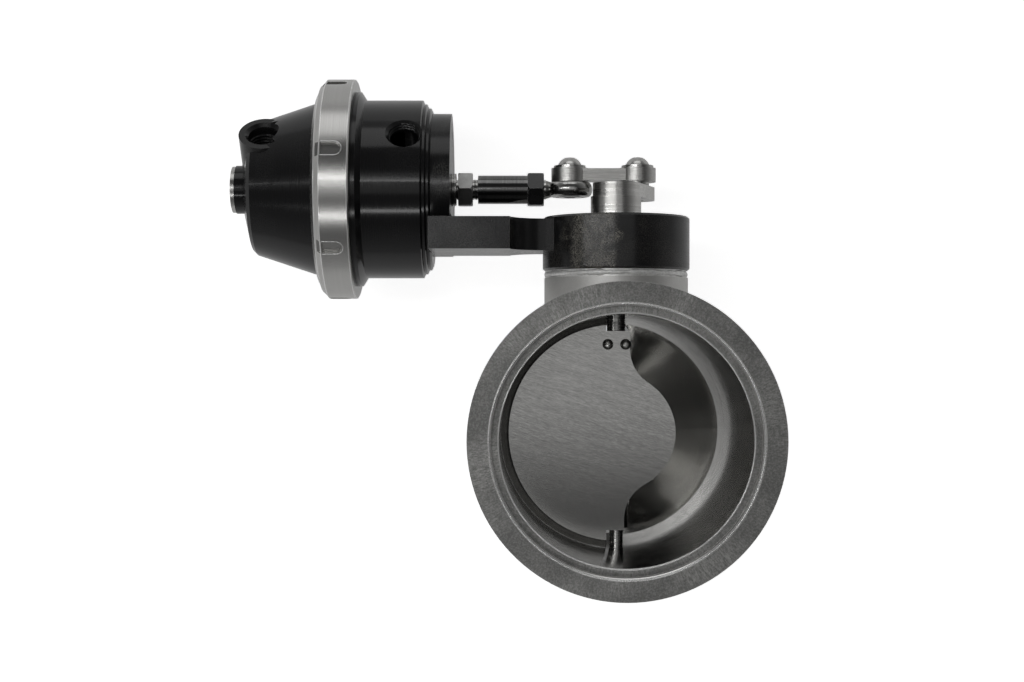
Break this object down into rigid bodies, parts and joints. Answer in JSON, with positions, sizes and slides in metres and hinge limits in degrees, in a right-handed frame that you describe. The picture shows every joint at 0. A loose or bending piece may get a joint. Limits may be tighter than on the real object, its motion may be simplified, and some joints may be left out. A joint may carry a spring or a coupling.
{
  "type": "butterfly wastegate with pneumatic actuator",
  "caption": "Turbo wastegate: a flanged round valve body with a butterfly flap, turned by a crank, link and rod from a spring-return pneumatic actuator.",
  "frame": {"origin": "centre of the gas bore on the rear flange face, on which the part stands", "axes": "+Z along the gas bore towards the front flange, +Y along the shaft towards the crank, +X along the actuator rod away from the actuator"},
  "size_m": [0.134, 0.1278, 0.084],
  "materials": {
    "body_steel": "turned and blasted stainless steel, dull in the bore",
    "seat_steel": "polished stainless steel",
    "flap_steel": "finely brushed stainless steel",
    "bright_steel": "bright machined stainless steel",
    "zinc_steel": "bright plated steel fasteners",
    "oxide_steel": "black oxide steel",
    "black_aluminium": "black anodised aluminium, fine turning marks",
    "silver_aluminium": "satin turned aluminium",
    "piston_aluminium": "plain machined aluminium",
    "gasket_sheet": "pale embossed gasket sheet",
    "bearing_bronze": "sintered bronze",
    "spring_steel": "drawn spring wire",
    "seal_rubber": "moulded rubber"
  },
  "bodies": {
    "housing": {"actuator_bracket": "black_aluminium", "adjuster_ring": "silver_aluminium", "adjuster_screw": "silver_aluminium", "arm_bolts": "oxide_steel", "base_housing": "black_aluminium", "bonnet": "black_aluminium", "bonnet_bush": "bearing_bronze", "bonnet_screws": "oxide_steel", "bracket_screws": "oxide_steel", "cap_housing": "black_aluminium", "clamp_collar": "silver_aluminium", "foot_plug": "zinc_steel", "housing_gasket": "seal_rubber", "neck_bush": "bearing_bronze", "neck_gasket": "gasket_sheet", "pivot_pin": "bright_steel", "return_spring": "spring_steel", "rod_guide": "bearing_bronze", "rod_seal": "seal_rubber", "seat_insert": "seat_steel", "shaft_seal": "seal_rubber", "valve_body": "body_steel"},
    "rod": {"piston": "piston_aluminium", "piston_seal": "seal_rubber", "piston_nut": "bright_steel", "actuator_rod": "bright_steel", "rod_lock_nut": "bright_steel", "rod_sleeve": "bright_steel", "end_lock_nut": "oxide_steel", "rod_end": "bright_steel"},
    "link": {"rod_end_ball": "bright_steel", "link_bar": "bright_steel", "link_screw": "zinc_steel"},
    "rotor": {"flap": "flap_steel", "flap_pins": "bright_steel", "shaft": "bright_steel", "shaft_collar": "bright_steel", "crank_arm": "bright_steel", "crank_spacer": "bright_steel", "crank_stud": "zinc_steel"}
  },
  "joints": [
    {"name": "rod_slide", "type": "slide", "parent": "housing", "child": "rod", "axis": [1, 0, 0], "range_m": [0, 0.0135], "stiffness_N_per_m": 6000, "springref_m": -0.01, "deforming": ["return_spring"]},
    {"name": "valve_turn", "type": "hinge", "parent": "housing", "child": "rotor", "pos_m": [0, 0, 0.042], "axis": [0, -1, 0], "range_deg": [0, 63.5]},
    {"name": "link_swing", "type": "hinge", "parent": "rod", "child": "link", "pos_m": [-0.0111, 0.0617, 0.029], "axis": [0, -1, 0], "range_deg": [0, 45.1]}
  ],
  "couplings": [
    {"joint": "valve_turn", "follows": "rod_slide", "rad_per_m": 82},
    {"joint": "link_swing", "follows": "rod_slide", "rad_per_m": 58.2}
  ]
}
